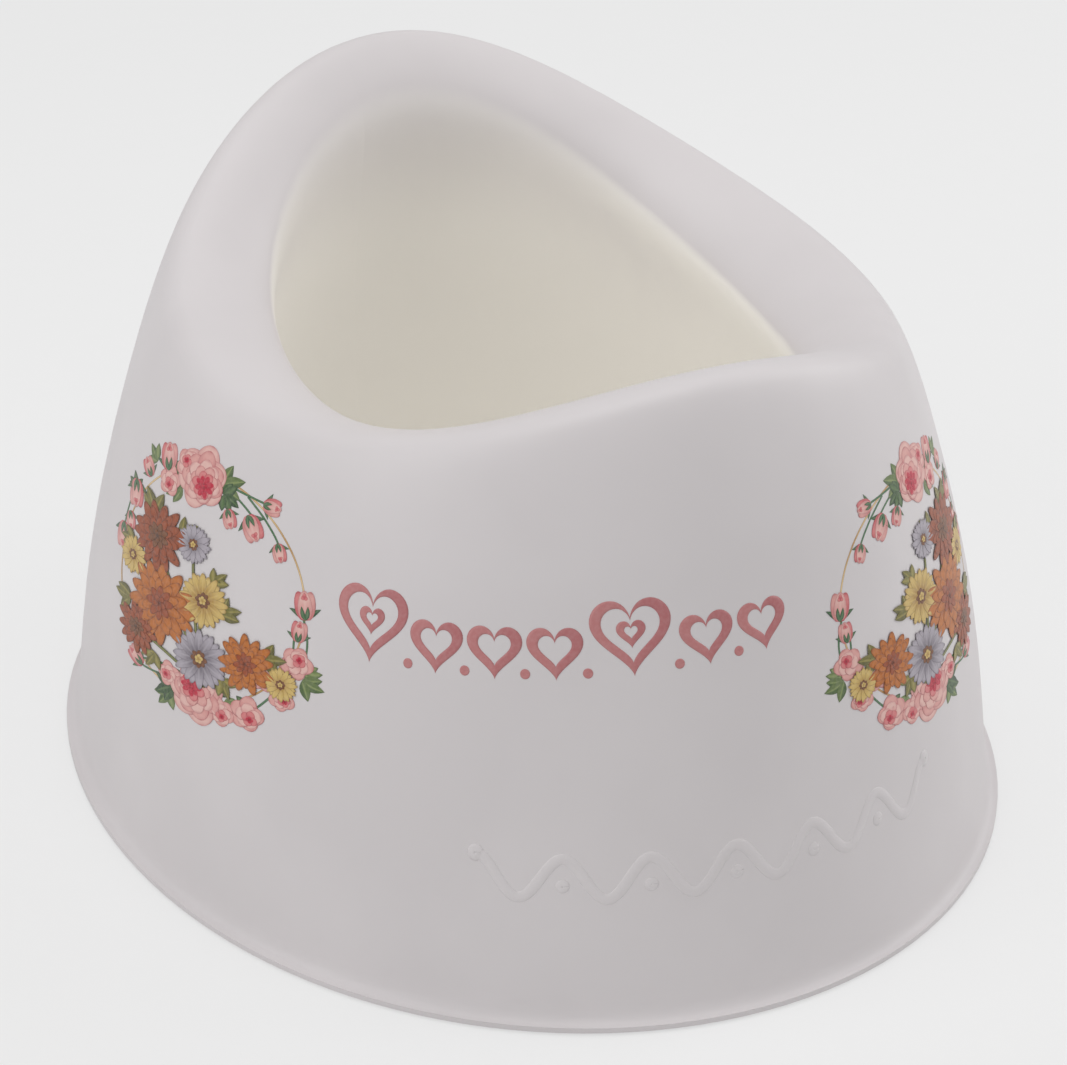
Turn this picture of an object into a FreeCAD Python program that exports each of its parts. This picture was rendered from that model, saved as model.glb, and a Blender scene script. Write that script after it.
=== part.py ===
# Potty training seat: one moulded shell on four push-in rubber feet, with three printed films.
# Units are millimetres. The origin is on the floor under the middle of the base, +Z is up,
# and the front of the seat, where the child's legs go, faces -Y.
import FreeCAD, Part
import math
import os

# ---------------------------------------------------------------- driving dimensions
DIMENSIONS = {
    # The outline and rim values place the net that the smooth surface is drawn from. The surface
    # settles a little inside it: the crests come out 1.5 to 3 mm lower, the base 0.5 to 1 mm narrower.
    "base_gap": (0.8, "height of the moulded base above the floor: how far the feet stand proud"),
    "half_width": (150.0, "base outline, half of the left to right size"),
    "half_length": (172.4, "base outline, half of the front to back size"),
    "edge_height": (1.8, "thickness of the outer edge of the base flange"),
    "flange_width": (4.3, "flat flange round the foot of the skirt"),
    "flange_rise": (2.5, "height of the fillet between flange and skirt"),
    "wall": (2.4, "wall of the moulding"),
    "rim_radius_front": (111.8, "crest of the rim from the middle of the seat, front"),
    "rim_radius_side": (108.0, "the same at the sides"),
    "rim_radius_back": (109.6, "the same at the back"),
    "rim_height_front": (177.3, "crest of the splash guard at the front"),
    "rim_height_side": (155.0, "crest of the rim beside the thighs"),
    "rim_height_back": (208.5, "crest of the backrest"),
    "rim_height_lobe": (2.7, "how much the rim lies lower between those places"),
    "outer_roll_front": (6.8, "rim crest to outer shoulder, outward, front"),
    "outer_roll_side": (7.5, "the same at the sides"),
    "outer_roll_back": (6.0, "the same at the back"),
    "outer_drop_front": (3.8, "rim crest to outer shoulder, downward, front"),
    "outer_drop_side": (6.6, "the same at the sides"),
    "outer_drop_back": (4.9, "the same at the back"),
    "inner_roll_front": (21.5, "rim crest to inner shoulder, inward, front"),
    "inner_roll_side": (35.0, "the same at the sides"),
    "inner_roll_back": (19.0, "the same at the back"),
    "inner_drop_front": (9.1, "rim crest to inner shoulder, downward, front"),
    "inner_drop_side": (12.2, "the same at the sides"),
    "inner_drop_back": (20.8, "the same at the back"),
    "bowl_radius_front": (79.6, "foot of the bowl wall, front"),
    "bowl_radius_side": (71.9, "the same at the sides"),
    "bowl_radius_back": (87.5, "the same at the back"),
    "bowl_floor_height": (12.0, "inside floor of the bowl above the base"),
    "skirt_bulge": (7.4, "outward bulge of the skirt"),
    "bowl_bulge": (14.4, "outward bulge of the bowl wall"),
    "foot_across": (98.0, "foot centre from the middle, left or right"),
    "foot_along": (109.5, "foot centre from the middle, front or back"),
    "boss_radius": (8.0, "moulded boss that holds a foot"),
    "boss_top": (17.0, "top of the boss above the floor"),
    "bore_radius": (4.0, "blind bore for the stem of a foot"),
    "bore_top": (12.0, "end of the bore above the floor"),
    "head_radius": (7.0, "head of a rubber foot"),
    "head_height": (2.5, "height of the head"),
    "head_rounding": (0.6, "rounded lower edge of the head"),
    "stem_radius": (3.95, "stem of a rubber foot"),
    "stem_length": (8.5, "length of the stem above the head"),
    "stem_lead": (0.8, "chamfer at the end of the stem"),
    "film_gap": (0.03, "clearance between a printed film and the skirt"),
    "film_thickness": (0.25, "thickness of a printed film"),
    "print_turn": (-23.2, "middle of the printed group, in degrees from the front"),
    "wreath_turn": (52.3, "wreath centre from the middle of the group, in degrees"),
    "wreath_height": (99.0, "height of the wreath centres"),
    "wreath_across": (53.0, "wreath outline, half of its width"),
    "wreath_up": (38.0, "wreath outline, half of its height"),
    "wreath_open_across": (33.0, "clear middle of the wreath, half of its width"),
    "wreath_open_up": (22.0, "clear middle of the wreath, half of its height"),
    "wreath_tilt": (12.0, "lean of the wreaths, higher towards the middle, in degrees"),
    "row_height": (112.0, "height of the middle of the heart row"),
    "row_half_width": (59.0, "heart row, half of its width"),
    "row_half_height": (12.0, "heart row, half of its height"),
}

STATIONS = 36          # control points round the shell, one each 10 degrees
DEGREE = 3             # cubic surfaces in both directions
FLANGE_MIDDLE = 0.55   # where the flange has its middle control point, as a share of its width
FLANGE_FALL = 0.3      # how much the flange rises up to there, so that water runs off it
SKIRT_SHARES = (0.10, 0.42, 0.80)   # control points of the skirt, from its foot to the rim
BOWL_SHARES = (0.12, 0.45, 0.80)    # control points of the bowl wall, from the rim to its foot
FLOOR_SHARES = (1.0, 0.8, 0.6)      # control points of the bowl floor, as shares of its radius
WREATH_HALF_TURN = 36.0             # half of the stretch of skirt that one wreath is cut from
ROW_HALF_TURN = 40.0                # the same for the heart row, in degrees
SHEET = "dimensions"
SIDES = {"left": -1, "right": 1}
ENDS = {"front": -1, "rear": 1}


def make_sheet(doc):
    """The spreadsheet of driving dimensions: name, value with alias, and what it is."""
    sheet = doc.addObject("Spreadsheet::Sheet", SHEET)
    for row, (name, (value, note)) in enumerate(DIMENSIONS.items(), start=1):
        sheet.set("A%d" % row, name)
        sheet.set("B%d" % row, str(value))
        sheet.set("C%d" % row, note)
        sheet.setAlias("B%d" % row, name)
    doc.recompute()
    return sheet


def bind(feature, prop, expression):
    """Tie one property to the sheet; words in the expression are its aliases."""
    feature.setExpression(prop, expression.replace("$", SHEET + "."))


# ---------------------------------------------------------------- the moulded shell
def ring_value(sheet, name, turn):
    """A size given at front, side and back, blended smoothly round the seat."""
    front = sheet.get(name + "_front")
    side = sheet.get(name + "_side")
    back = sheet.get(name + "_back")
    middle = (front + back) / 2
    tilt = (front - back) / 2
    return (middle + side) / 2 + tilt * math.cos(turn) + (middle - side) / 2 * math.cos(2 * turn)


def section(sheet, turn):
    """Control points (radius, height) of the upper surface in one vertical half plane."""
    base = sheet.base_gap
    half_width = sheet.half_width
    half_length = sheet.half_length
    outline = (half_width + half_length) / 2 + (half_length - half_width) / 2 * math.cos(2 * turn)
    crest = ring_value(sheet, "rim_radius", turn)
    top = base + ring_value(sheet, "rim_height", turn)
    top -= sheet.rim_height_lobe * (1 - math.cos(4 * turn))
    outer = (crest + ring_value(sheet, "outer_roll", turn), top - ring_value(sheet, "outer_drop", turn))
    inner = (crest - ring_value(sheet, "inner_roll", turn), top - ring_value(sheet, "inner_drop", turn))
    floor = (ring_value(sheet, "bowl_radius", turn), base + sheet.bowl_floor_height)
    edge = base + sheet.edge_height
    foot = (outline - sheet.flange_width, edge + sheet.flange_rise)
    middle = (outline - FLANGE_MIDDLE * sheet.flange_width, edge + FLANGE_FALL)
    points = [(outline, edge), middle, foot]
    points += bulged(foot, outer, sheet.skirt_bulge, SKIRT_SHARES)
    points += [outer, (crest, top), inner]
    points += bulged(inner, floor, sheet.bowl_bulge, BOWL_SHARES)
    points += [(share * floor[0], floor[1]) for share in FLOOR_SHARES]
    return points


def bulged(start, end, bulge, shares):
    """Points part of the way from start to end, pushed outward most in the middle."""
    points = []
    for share in shares:
        radius = start[0] + (end[0] - start[0]) * share + bulge * math.sin(math.pi * share)
        points.append((radius, start[1] + (end[1] - start[1]) * share))
    return points


def inward(points, distance):
    """The same section moved by distance to its underside, with mitred corners."""
    normals = []
    for (r0, z0), (r1, z1) in zip(points, points[1:]):
        length = math.hypot(r1 - r0, z1 - z0)
        normals.append(((z1 - z0) / -length, (r1 - r0) / length))
    moved = []
    for index, (radius, height) in enumerate(points):
        before = normals[max(index - 1, 0)]
        after = normals[min(index, len(normals) - 1)]
        mitre = distance / (1 + before[0] * after[0] + before[1] * after[1])
        moved.append((radius + mitre * (before[0] + after[0]), height + mitre * (before[1] + after[1])))
    return moved


def surface_through(sections):
    """Closed cubic surface whose control points are the sections, from the back round to it."""
    poles = []
    for index, points in enumerate(sections):
        turn = station_turn(index)
        poles.append([FreeCAD.Vector(r * math.sin(turn), -r * math.cos(turn), z) for r, z in points])
    rows = len(sections[0])
    spans = rows - DEGREE
    ends = [DEGREE + 1] + [1] * (spans - 1) + [DEGREE + 1]
    surface = Part.BSplineSurface()
    surface.buildFromPolesMultsKnots(
        poles, [1] * (STATIONS + 1), ends,
        [float(knot) for knot in range(STATIONS + 1)], [float(knot) for knot in range(spans + 1)],
        True, False, DEGREE, DEGREE)
    return surface


def station_turn(index):
    """Angle from the front of one control section; the seam of the surface is at the back."""
    return 2 * math.pi * index / STATIONS - math.pi


def upper_surface(sheet):
    """What shows from above: flange, skirt, rim and bowl."""
    return surface_through([section(sheet, station_turn(i)) for i in range(STATIONS)])


def lower_section(sheet, turn):
    """Section of the hollow underside, one wall below the upper one, down to the base."""
    points = inward(section(sheet, turn), sheet.wall)
    flange_points = 3
    wall_points = points[flange_points:]
    foot_radius = wall_points[0][0]
    foot = (foot_radius, sheet.base_gap)
    return [foot, (foot_radius, sheet.base_gap + sheet.flange_rise)] + wall_points


def loop_edge(surface, at_end):
    """The closed edge of a surface at the start or the end of its sections."""
    first, last = surface.bounds()[2:]
    curve = surface.vIso(last if at_end else first)
    return curve.toShape()


def moulding_shape(sheet):
    """Upper surface, edge, base ring, underside and the two faces of the bowl floor, sewn."""
    upper = upper_surface(sheet)
    lower = surface_through([lower_section(sheet, station_turn(i)) for i in range(STATIONS)])
    edge_top = loop_edge(upper, False)
    outer_base = edge_top.translated(FreeCAD.Vector(0, 0, -sheet.edge_height))
    edge_face = edge_top.extrude(FreeCAD.Vector(0, 0, -sheet.edge_height))
    inner_base = loop_edge(lower, False)
    base_ring = Part.Face([Part.Wire([outer_base]), Part.Wire([inner_base])], "Part::FaceMakerBullseye")
    bowl_floor = Part.Face(Part.Wire([loop_edge(upper, True)]))
    under_floor = Part.Face(Part.Wire([loop_edge(lower, True)]))
    faces = [upper.toShape(), edge_face, base_ring, lower.toShape(), bowl_floor, under_floor]
    skin = Part.makeShell(faces)
    skin.sewShape()
    solid = Part.Solid(skin)
    if solid.Volume < 0:
        solid.reverse()
    return solid


def make_shell(doc, sheet):
    """The moulding with its four foot bosses and their blind bores."""
    moulding = doc.addObject("Part::Feature", "moulding")
    moulding.Shape = moulding_shape(sheet)
    bosses = [moulding]
    bores = []
    for end in ENDS:
        for side in SIDES:
            place = end + "_" + side
            bosses.append(make_post(doc, "boss_" + place, "boss_radius", "boss_top", end, side))
            bores.append(make_post(doc, "bore_" + place, "bore_radius", "bore_top", end, side))
    body = doc.addObject("Part::MultiFuse", "moulding_with_bosses")
    body.Shapes = bosses
    holes = doc.addObject("Part::MultiFuse", "foot_bores")
    holes.Shapes = bores
    shell = doc.addObject("Part::Cut", "potty_shell")
    shell.Base = body
    shell.Tool = holes
    shell.Label = "potty_shell"
    return shell


def make_post(doc, name, radius, top, end, side):
    """An upright cylinder from the head of one foot up to a height."""
    post = doc.addObject("Part::Cylinder", name)
    bind(post, "Radius", "$" + radius)
    bind(post, "Height", "$%s - $head_height" % top)
    bind(post, "Placement.Base.x", "%d * $foot_across" % SIDES[side])
    bind(post, "Placement.Base.y", "%d * $foot_along" % ENDS[end])
    bind(post, "Placement.Base.z", "$head_height")
    return post


# ---------------------------------------------------------------- the rubber feet
def make_foot(doc, end, side):
    """One push-in foot: a rounded head under the boss and a stem up its bore."""
    label = "foot_%s_%s" % (end, side)
    body = doc.addObject("PartDesign::Body", label)
    body.Label = label
    head = body.newObject("PartDesign::AdditiveCylinder", "head_" + label)
    bind(head, "Radius", "$head_radius")
    bind(head, "Height", "$head_height")
    stem = body.newObject("PartDesign::AdditiveCylinder", "stem_" + label)
    bind(stem, "Radius", "$stem_radius")
    bind(stem, "Height", "$stem_length")
    bind(stem, "Placement.Base.z", "$head_height")
    doc.recompute()
    rounding = body.newObject("PartDesign::Fillet", "rounding_" + label)
    rounding.Base = (stem, [ring_name(stem.Shape, lowest=True)])
    bind(rounding, "Radius", "$head_rounding")
    doc.recompute()
    lead = body.newObject("PartDesign::Chamfer", "lead_" + label)
    lead.Base = (rounding, [ring_name(rounding.Shape, lowest=False)])
    bind(lead, "Size", "$stem_lead")
    body.Tip = lead
    bind(body, "Placement.Base.x", "%d * $foot_across" % SIDES[side])
    bind(body, "Placement.Base.y", "%d * $foot_along" % ENDS[end])
    return body


def ring_name(shape, lowest):
    """Name of the lowest or the highest circular edge of a turned shape."""
    rings = []
    for number, edge in enumerate(shape.Edges, start=1):
        if isinstance(edge.Curve, Part.Circle):
            rings.append((edge.Curve.Center.z, "Edge%d" % number))
    return min(rings)[1] if lowest else max(rings)[1]


# ---------------------------------------------------------------- the printed films
def skirt_layer(doc, sheet, name, turn, half_turn):
    """A thin layer that lies on the skirt, over a stretch of its way round."""
    foot_row, shoulder_row = 0.4, 4.9
    surface = upper_surface(sheet)
    per_degree = STATIONS / 360.0
    middle = (turn + 180.0) * per_degree
    reach = half_turn * per_degree
    surface.segment(middle - reach, middle + reach, foot_row, shoulder_row)
    outward = outward_direction(turn)
    patch = surface.toShape().translated(outward * sheet.film_gap)
    layer = doc.addObject("Part::Feature", name)
    layer.Shape = patch.extrude(outward * sheet.film_thickness)
    return layer


def outward_direction(turn):
    """Level direction away from the middle of the seat, at an angle from the front."""
    angle = math.radians(turn)
    return FreeCAD.Vector(math.sin(angle), -math.cos(angle), 0)


def make_oval(doc, name, across, up, height, turn, lean):
    """A leaning oval bar that reaches out of the seat, used to trim a film."""
    oval = doc.addObject("Part::Ellipse", name + "_outline")
    bind(oval, "MajorRadius", "$" + across)
    bind(oval, "MinorRadius", "$" + up)
    bind(oval, "Placement.Base.z", "$" + height)
    stand_up = FreeCAD.Rotation(FreeCAD.Vector(1, 0, 0), 90)
    face_out = FreeCAD.Rotation(FreeCAD.Vector(0, 0, 1), turn)
    tip_over = FreeCAD.Rotation(FreeCAD.Vector(0, 0, 1), lean)
    oval.Placement.Rotation = face_out.multiply(stand_up).multiply(tip_over)
    bar = doc.addObject("Part::Extrusion", name)
    bar.Base = oval
    bar.DirMode = "Custom"
    bar.Dir = outward_direction(turn)
    bind(bar, "LengthFwd", "$half_length")
    bar.Solid = True
    return bar


def make_wreath(doc, sheet, side):
    """One oval ring of printed flowers on the skirt."""
    label = "wreath_print_" + side
    turn = sheet.print_turn + SIDES[side] * sheet.wreath_turn
    lean = -SIDES[side] * sheet.wreath_tilt
    layer = skirt_layer(doc, sheet, "layer_" + side, turn, WREATH_HALF_TURN)
    outer = make_oval(doc, "wreath_outer_" + side, "wreath_across", "wreath_up",
                      "wreath_height", turn, lean)
    inner = make_oval(doc, "wreath_inner_" + side, "wreath_open_across", "wreath_open_up",
                      "wreath_height", turn, lean)
    ring = doc.addObject("Part::Cut", "wreath_ring_" + side)
    ring.Base = outer
    ring.Tool = inner
    film = doc.addObject("Part::Common", label)
    film.Base = layer
    film.Tool = ring
    film.Label = label
    return film


def make_heart_row(doc, sheet):
    """The long film between the wreaths, which carries a row of hearts."""
    turn = sheet.print_turn
    layer = skirt_layer(doc, sheet, "layer_middle", turn, ROW_HALF_TURN)
    bar = doc.addObject("Part::Box", "heart_row_outline")
    bind(bar, "Length", "2 * $row_half_width")
    bind(bar, "Width", "$half_length")
    bind(bar, "Height", "2 * $row_half_height")
    spin = FreeCAD.Rotation(FreeCAD.Vector(0, 0, 1), turn)
    corner = spin.multVec(FreeCAD.Vector(-sheet.row_half_width, -sheet.half_length, 0))
    bar.Placement = FreeCAD.Placement(corner, spin)
    bind(bar, "Placement.Base.z", "$row_height - $row_half_height")
    film = doc.addObject("Part::Common", "heart_row_print")
    film.Base = layer
    film.Tool = bar
    film.Label = "heart_row_print"
    return film


# ---------------------------------------------------------------- check and write
def check_document(doc, pieces):
    """Stop if any object failed or any piece has no sound solid."""
    for item in doc.Objects:
        for word in ("Invalid", "Error"):
            if word in item.State:
                raise RuntimeError("%s is %s" % (item.Name, word))
    for piece in pieces:
        if piece.Shape.isNull() or not piece.Shape.isValid():
            raise RuntimeError("%s has no valid shape" % piece.Label)
        if len(piece.Shape.Solids) != 1:
            raise RuntimeError("%s has %d solids" % (piece.Label, len(piece.Shape.Solids)))


def write_pieces(pieces):
    """Write one STEP file for each piece and print its size."""
    os.makedirs("parts", exist_ok=True)
    for piece in pieces:
        box = piece.Shape.optimalBoundingBox()
        print("%-20s %7.1f x %6.1f x %6.1f mm, z %6.2f to %6.2f, %9.1f mm3" % (
            piece.Label, box.XLength, box.YLength, box.ZLength, box.ZMin, box.ZMax, piece.Shape.Volume))
        piece.Shape.exportStep("parts/%s.step" % piece.Label)


def main():
    doc = FreeCAD.newDocument("potty")
    sheet = make_sheet(doc)
    pieces = [make_shell(doc, sheet)]
    pieces += [make_foot(doc, end, side) for end in ENDS for side in SIDES]
    pieces += [make_wreath(doc, sheet, side) for side in SIDES]
    pieces.append(make_heart_row(doc, sheet))
    doc.recompute()
    check_document(doc, pieces)
    write_pieces(pieces)


main()
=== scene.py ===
# %% [markdown]
# # A printed potty for toddlers
# The object is one moulded plastic shell on four rubber feet. Its skirt carries three prints.
# The construction is finished already, so this lesson gives it its looks. It loads the packed
# model as a fixed frame.

# %% Load the frame
import math
import random
import bpy
from mathutils import Matrix, Vector
from mathutils.bvhtree import BVHTree


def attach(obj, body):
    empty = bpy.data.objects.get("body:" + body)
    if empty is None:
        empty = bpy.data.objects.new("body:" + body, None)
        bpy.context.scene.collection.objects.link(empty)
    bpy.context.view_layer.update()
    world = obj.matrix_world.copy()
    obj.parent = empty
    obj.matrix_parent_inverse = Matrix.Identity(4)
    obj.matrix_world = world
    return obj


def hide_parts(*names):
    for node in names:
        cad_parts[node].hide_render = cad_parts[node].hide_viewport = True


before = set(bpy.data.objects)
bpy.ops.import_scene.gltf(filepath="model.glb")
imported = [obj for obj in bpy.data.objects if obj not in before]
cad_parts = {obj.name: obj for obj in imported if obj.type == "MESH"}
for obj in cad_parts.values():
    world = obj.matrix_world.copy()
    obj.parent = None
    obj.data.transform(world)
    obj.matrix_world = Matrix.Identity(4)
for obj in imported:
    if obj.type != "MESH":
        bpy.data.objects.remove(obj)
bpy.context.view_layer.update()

MM = 0.001
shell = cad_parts["potty_shell"]
print("nodes:", sorted(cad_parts))

# %% [markdown]
# ## The camera
# A product picture is taken from a little above, with a long lens, so that the seat looks calm
# and hardly tapers. The place is given as two angles and a distance from a point on the axis of
# the seat. A small roll about the line of sight is what a hand-held camera has.

# %% Camera
CAMERA_TURN = math.radians(-27.64)
CAMERA_RISE = math.radians(28.9)
CAMERA_ROLL = math.radians(1.16)
CAMERA_DISTANCE = 0.8908
CAMERA_TARGET = Vector((0.0022, 0.0, 0.0700))
LENS_MM = 92.3
SENSOR_MM = 36.0
NEAREST = 0.05                # the camera sees nothing nearer than this, in metres,
FARTHEST = 50.0               # or beyond this


def look_direction(turn, rise):
    """Unit vector from the target to the camera; turn 0 is in front of the seat."""
    level = math.cos(rise)
    return Vector((math.sin(turn) * level, -math.cos(turn) * level, math.sin(rise)))


def make_camera():
    back = look_direction(CAMERA_TURN, CAMERA_RISE)
    right = Vector((math.cos(CAMERA_TURN), math.sin(CAMERA_TURN), 0))
    up = back.cross(right)
    rolled_right = right * math.cos(CAMERA_ROLL) + up * math.sin(CAMERA_ROLL)
    rolled_up = up * math.cos(CAMERA_ROLL) - right * math.sin(CAMERA_ROLL)
    data = bpy.data.cameras.new("product_camera")
    data.lens = LENS_MM
    data.sensor_width = SENSOR_MM
    data.clip_start = NEAREST
    data.clip_end = FARTHEST
    camera = bpy.data.objects.new("product_camera", data)
    axes = Matrix((rolled_right, rolled_up, back)).transposed()
    camera.matrix_world = Matrix.Translation(CAMERA_TARGET + back * CAMERA_DISTANCE) @ axes.to_4x4()
    bpy.context.scene.collection.objects.link(camera)
    bpy.context.scene.camera = camera
    return camera


camera = make_camera()
print("camera stands at", [round(v, 3) for v in camera.location])

# %% [markdown]
# ## Shader maths as expressions
# A node tree reads badly when every sum is three lines of code. `Wire` wraps a socket, so that
# `a * 2 + b` adds the Math nodes by itself. Colours go through Mix nodes, and every other node
# comes from `Shader.node`, which takes the settings first and then the sockets.

# %% Wire


class Wire:
    """A number on its way through a node tree."""

    def __init__(self, tree, socket):
        self.tree = tree
        self.socket = socket

    def math(self, operation, *others):
        node = self.tree.nodes.new("ShaderNodeMath")
        node.operation = operation
        for place, value in enumerate((self,) + others):
            feed(self.tree, node.inputs[place], value)
        return Wire(self.tree, node.outputs[0])

    def __add__(self, other):
        return self.math("ADD", other)

    def __sub__(self, other):
        return self.math("SUBTRACT", other)

    def __rsub__(self, other):
        return (self * -1) + other

    def __mul__(self, other):
        return self.math("MULTIPLY", other)

    __radd__ = __add__
    __rmul__ = __mul__

    def ramp(self, low, high):
        """0 at low and 1 at high, eased at both ends."""
        node = self.tree.nodes.new("ShaderNodeMapRange")
        node.interpolation_type = "SMOOTHSTEP"
        for name, value in (("Value", self), ("From Min", low), ("From Max", high)):
            feed(self.tree, node.inputs[name], value)
        return Wire(self.tree, node.outputs["Result"])


def feed(tree, socket, value):
    """Give a socket a link or a constant."""
    if isinstance(value, Wire):
        tree.links.new(value.socket, socket)
    else:
        socket.default_value = value


def colour(red, green, blue):
    """An 8-bit screen colour as the linear colour that a shader needs."""
    def linear(value):
        value /= 255.0
        return value / 12.92 if value <= 0.04045 else ((value + 0.055) / 1.055) ** 2.4
    return (linear(red), linear(green), linear(blue), 1.0)


print("middle grey as a linear colour:", [round(part, 3) for part in colour(128, 128, 128)])

# %% [markdown]
# ## A short way to a material
# Nearly every finish here is one Principled surface with noise behind its colour, its roughness
# and its bump. `Shader` makes that surface and has a word for each of these jobs, so that the
# recipe of a finish reads as a recipe. Noise is given in features per metre of the object, and
# keeps its scale on every piece.

# %% Shader


class Shader:
    """A material with one Principled surface and short ways to add nodes."""

    def __init__(self, name):
        self.material = bpy.data.materials.new(name)
        self.material.use_nodes = True
        self.tree = self.material.node_tree
        self.surface = self.tree.nodes["Principled BSDF"]

    def node(self, kind, settings=None, out=0, **inputs):
        """Any node: its settings first, then its sockets, whose spaces are written as _."""
        node = self.tree.nodes.new("ShaderNode" + kind)
        for name, value in (settings or {}).items():
            setattr(node, name, value)
        for name, value in inputs.items():
            feed(self.tree, node.inputs[name.replace("_", " ")], value)
        return Wire(self.tree, node.outputs[out])

    def mix(self, factor, first, second):
        """A colour between two others."""
        node = self.tree.nodes.new("ShaderNodeMix")
        node.data_type = "RGBA"
        feed(self.tree, node.inputs[0], factor)
        feed(self.tree, node.inputs[6], first)
        feed(self.tree, node.inputs[7], second)
        return Wire(self.tree, node.outputs[2])

    def place(self):
        """The point in the object's own metres."""
        return self.node("TexCoord", out="Object")

    def noise(self, per_metre, detail=2.0, roughness=0.5):
        """Fractal noise with a given number of features per metre."""
        return self.node("TexNoise", out="Fac", Vector=self.place(), Scale=per_metre,
                         Detail=detail, Roughness=roughness)

    def bump(self, height, distance, strength=1.0):
        """Feed the surface normal from a height field of a given depth."""
        normal = self.node("Bump", Height=height, Distance=distance, Strength=strength)
        self.set(Normal=normal)

    def set(self, **inputs):
        for name, value in inputs.items():
            feed(self.tree, self.surface.inputs[name.replace("_", " ")], value)

    def paint(self, piece):
        piece.data.materials.clear()
        piece.data.materials.append(self.material)


print("a noise of 14 per metre has a feature each", round(1000 / 14), "mm")

# %% [markdown]
# ## Light, floor and background
# A pale thing on a pale ground needs soft light, or its shape is lost in shadows. A bright, even
# sky does most of the work. A soft lamp on each side lifts the flanks, so that the front of the
# skirt is the calmest tone, and one overhead reaches into the bowl. The floor is a real surface
# with a contact shadow. To the camera it also glows a little, as a light table does, which keeps
# the background even from edge to edge.

# %% Sky
GROUND = colour(238, 238, 238)
SKY_LEVEL = 0.52


def make_sky():
    """Even light all round, shown to the camera as the pale ground."""
    world = bpy.data.worlds.new("studio")
    world.use_nodes = True
    bpy.context.scene.world = world
    tree = world.node_tree
    tree.nodes.clear()
    light = tree.nodes.new("ShaderNodeBackground")
    light.inputs["Strength"].default_value = SKY_LEVEL
    light.inputs["Color"].default_value = (1.0, 1.0, 1.0, 1.0)
    seen = tree.nodes.new("ShaderNodeBackground")
    seen.inputs["Color"].default_value = GROUND
    path = tree.nodes.new("ShaderNodeLightPath")
    either = tree.nodes.new("ShaderNodeMixShader")
    out = tree.nodes.new("ShaderNodeOutputWorld")
    tree.links.new(path.outputs["Is Camera Ray"], either.inputs[0])
    tree.links.new(light.outputs[0], either.inputs[1])
    tree.links.new(seen.outputs[0], either.inputs[2])
    tree.links.new(either.outputs[0], out.inputs[0])


make_sky()
bpy.context.scene.view_settings.view_transform = "Standard"
print("sky level", SKY_LEVEL)

# %% Lamps
LAMPS = {                     # place in metres, size in metres, watts
    "left_lamp": ((-1.25, -0.05, 0.85), 1.0, 4.2),
    "right_lamp": ((1.30, -0.15, 0.80), 1.0, 6.4),
    "top_lamp": ((-0.10, 0.00, 1.45), 0.9, 5.2),
}
LAMP_AIM = Vector((0, 0, 0.1))


def make_lamp(name, place, size, watts):
    """A square soft lamp that points at the seat."""
    data = bpy.data.lights.new(name, "AREA")
    data.shape = "SQUARE"
    data.size = size
    data.energy = watts
    lamp = bpy.data.objects.new(name, data)
    lamp.location = place
    aim = LAMP_AIM - Vector(place)
    lamp.rotation_euler = aim.to_track_quat("-Z", "Y").to_euler()
    bpy.context.scene.collection.objects.link(lamp)


for lamp_name, (place, size, watts) in LAMPS.items():
    make_lamp(lamp_name, place, size, watts)
print("lamps in watts:", {name: lamp[2] for name, lamp in LAMPS.items()})

# %% Floor
GROUND_GRAIN = colour(239, 239, 239)
FLOOR_HALF = 6.0
FLOOR_GLOW = 0.7              # share of the floor's tone that the camera sees as its own light
GLOW_NEAR = 0.6               # out to this distance in metres, and from
GLOW_FAR = 2.4                # this one on the floor is all glow, so that no horizon shows


def make_floor():
    """A wide pale sheet that the seat stands on."""
    data = bpy.data.meshes.new("floor")
    corners = [(x * FLOOR_HALF, y * FLOOR_HALF, 0) for x, y in ((-1, -1), (1, -1), (1, 1), (-1, 1))]
    data.from_pydata(corners, [], [(0, 1, 2, 3)])
    floor = bpy.data.objects.new("floor", data)
    bpy.context.scene.collection.objects.link(floor)
    look = Shader("floor_paint")
    grain = look.noise(60.0, detail=3.0).ramp(0.3, 0.7)
    look.set(Base_Color=look.mix(grain, GROUND, GROUND_GRAIN), Roughness=0.9)
    glow = look.tree.nodes.new("ShaderNodeEmission")
    glow.inputs["Color"].default_value = GROUND
    distance = look.node("VectorMath", {"operation": "LENGTH"}, out="Value", Vector=look.place())
    glow_share = distance.ramp(GLOW_NEAR, GLOW_FAR) * (1 - FLOOR_GLOW) + FLOOR_GLOW
    share = look.node("LightPath", out="Is Camera Ray") * glow_share
    both = look.tree.nodes.new("ShaderNodeMixShader")
    feed(look.tree, both.inputs[0], share)
    look.tree.links.new(look.surface.outputs[0], both.inputs[1])
    look.tree.links.new(glow.outputs[0], both.inputs[2])
    look.tree.links.new(both.outputs[0], look.tree.nodes["Material Output"].inputs["Surface"])
    look.paint(floor)


make_floor()
print("floor", 2 * FLOOR_HALF, "m wide")
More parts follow.
